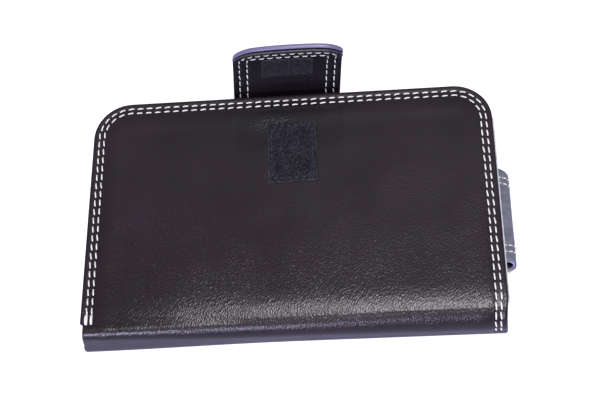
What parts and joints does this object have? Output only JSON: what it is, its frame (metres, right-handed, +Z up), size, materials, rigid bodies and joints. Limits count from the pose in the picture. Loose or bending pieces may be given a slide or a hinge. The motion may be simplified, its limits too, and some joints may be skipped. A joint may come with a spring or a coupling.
{
  "type": "phone wallet",
  "caption": "Folding black leather phone wallet with a stitched edge, a hook-and-loop closing strap, a side pen loop, and an inner phone holder with card pockets.",
  "frame": {"origin": "middle of the back cover's underside, between the opening edge and the spine's outer face", "axes": "+X along the spine towards the pen loop, +Y from the spine to the opening edge with the strap, +Z up from the back cover to the front cover, with the wallet closed and lying flat"},
  "size_m": [0.1324, 0.0871, 0.031],
  "materials": {
    "outer_leather": "pebbled black leather, soft sheen",
    "lining_leather": "smooth black lining leather",
    "board": "grey stiffening board",
    "white_thread": "off-white waxed thread",
    "dark_thread": "dark thread",
    "loop_pile": "dark navy loop pile",
    "hook_face": "black hook tape",
    "stay_plastic": "flexible dark plastic stay"
  },
  "bodies": {
    "back_cover": {"back_outer_leather": "outer_leather", "back_board": "board", "back_lining": "lining_leather", "back_seam_outer": "white_thread", "back_seam_inner": "white_thread", "strap_anchor": "outer_leather", "phone_holder": "lining_leather", "pen_loop": "outer_leather", "pen_loop_seam_far_outer": "white_thread", "pen_loop_seam_far_inner": "white_thread", "pen_loop_seam_near_inner": "white_thread", "pen_loop_seam_near_outer": "white_thread"},
    "spine": {"spine_leather": "outer_leather", "spine_lining": "lining_leather", "spine_seam_outer": "white_thread", "spine_seam_inner": "white_thread"},
    "front_cover": {"front_outer_leather": "outer_leather", "front_board": "board", "front_lining": "lining_leather", "front_seam_outer": "white_thread", "front_seam_inner": "white_thread", "loop_tape": "loop_pile", "loop_tape_seam": "dark_thread", "card_pocket_deep": "lining_leather", "card_pocket_shallow": "lining_leather"},
    "strap_root": {"strap_root_inner": "outer_leather", "strap_root_outer": "outer_leather", "strap_root_stay": "stay_plastic", "strap_root_seam_outer_left": "white_thread", "strap_root_seam_outer_right": "white_thread", "strap_root_seam_inner_left": "white_thread", "strap_root_seam_inner_right": "white_thread"},
    "strap_tip": {"strap_tip_inner": "outer_leather", "strap_tip_outer": "outer_leather", "strap_tip_stay": "stay_plastic", "strap_tip_seam_outer": "white_thread", "strap_tip_seam_inner": "white_thread", "hook_tape": "hook_face"}
  },
  "joints": [
    {"name": "spine_fold", "type": "hinge", "parent": "back_cover", "child": "spine", "pos_m": [0, -0.0398, 0.0015], "axis": [1, 0, 0], "range_deg": [0, 90]},
    {"name": "cover_fold", "type": "hinge", "parent": "spine", "child": "front_cover", "pos_m": [0.00045, -0.03856, 0.011], "axis": [0.9999, 0.0151, 0], "range_deg": [0, 90]},
    {"name": "strap_root_bend", "type": "hinge", "parent": "back_cover", "child": "strap_root", "pos_m": [-0.0023, 0.0411, 0.0014], "axis": [1, 0, 0], "range_deg": [-64, 17]},
    {"name": "strap_fold", "type": "hinge", "parent": "strap_root", "child": "strap_tip", "pos_m": [-0.00081, 0.04394, 0.01412], "axis": [1, 0, 0], "range_deg": [-10, 76]}
  ]
}
